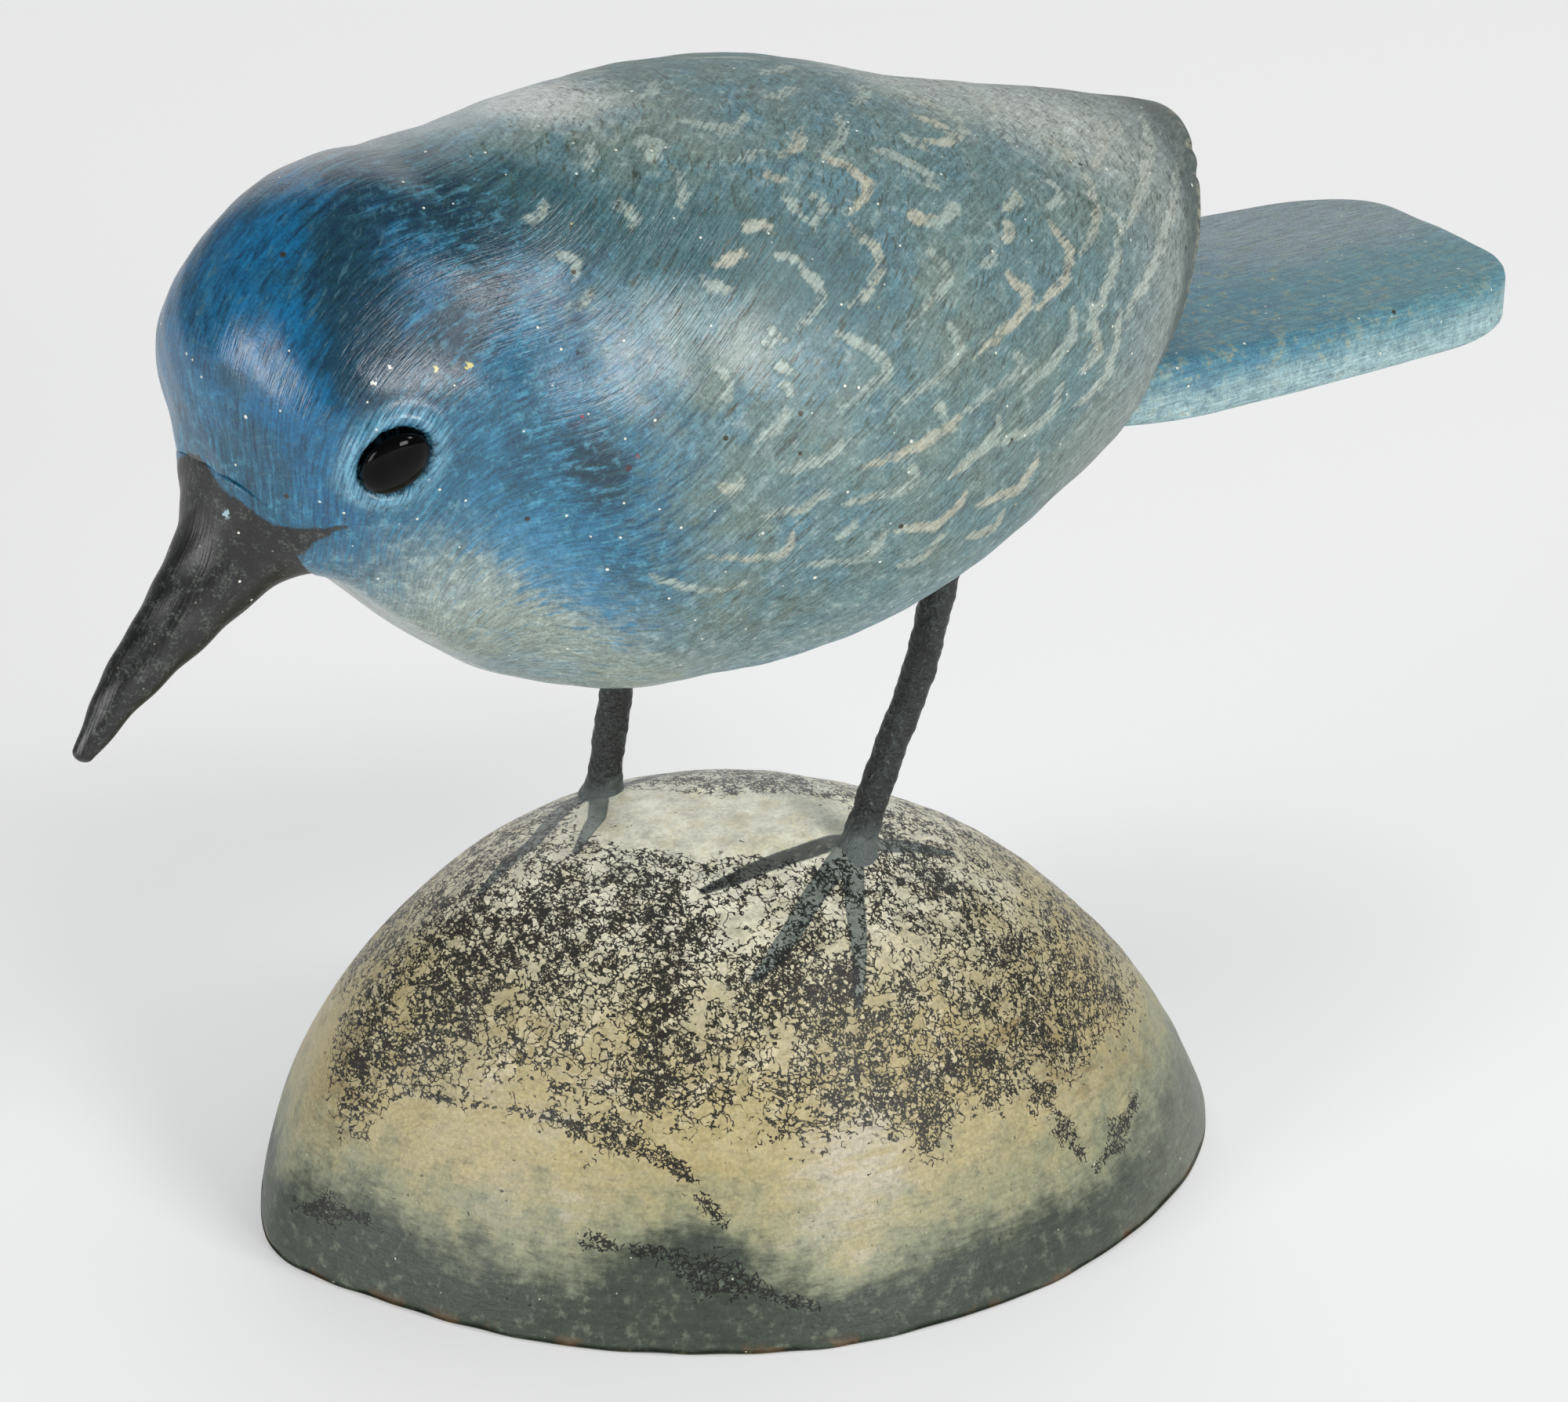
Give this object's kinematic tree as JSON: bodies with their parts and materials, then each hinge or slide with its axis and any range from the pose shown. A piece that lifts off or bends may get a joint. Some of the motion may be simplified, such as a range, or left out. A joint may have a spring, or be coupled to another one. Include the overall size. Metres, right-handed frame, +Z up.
{
  "type": "jay carving",
  "caption": "Small carved and painted wooden jay with glass eyes, leaning forward on bent wire legs over a domed oval wooden mound.",
  "frame": {"origin": "on the mound's flat underside, below the bird's middle plane", "axes": "-X the way the bird faces, +X along its tail, -Y its left side, +Z up"},
  "size_m": [0.1053, 0.05, 0.0726],
  "materials": {
    "bird_paint": "brushed oil paint on carved wood, satin",
    "eye_glass": "polished black glass",
    "leg_paint": "thick uneven dark paint on wire",
    "mound_paint": "stippled oil paint on carved wood, satin"
  },
  "bodies": {
    "root": {"carved_bird": "bird_paint", "eye_left": "eye_glass", "eye_right": "eye_glass", "leg_left": "leg_paint", "leg_right": "leg_paint", "domed_mound": "mound_paint"}
  },
  "joints": []
}
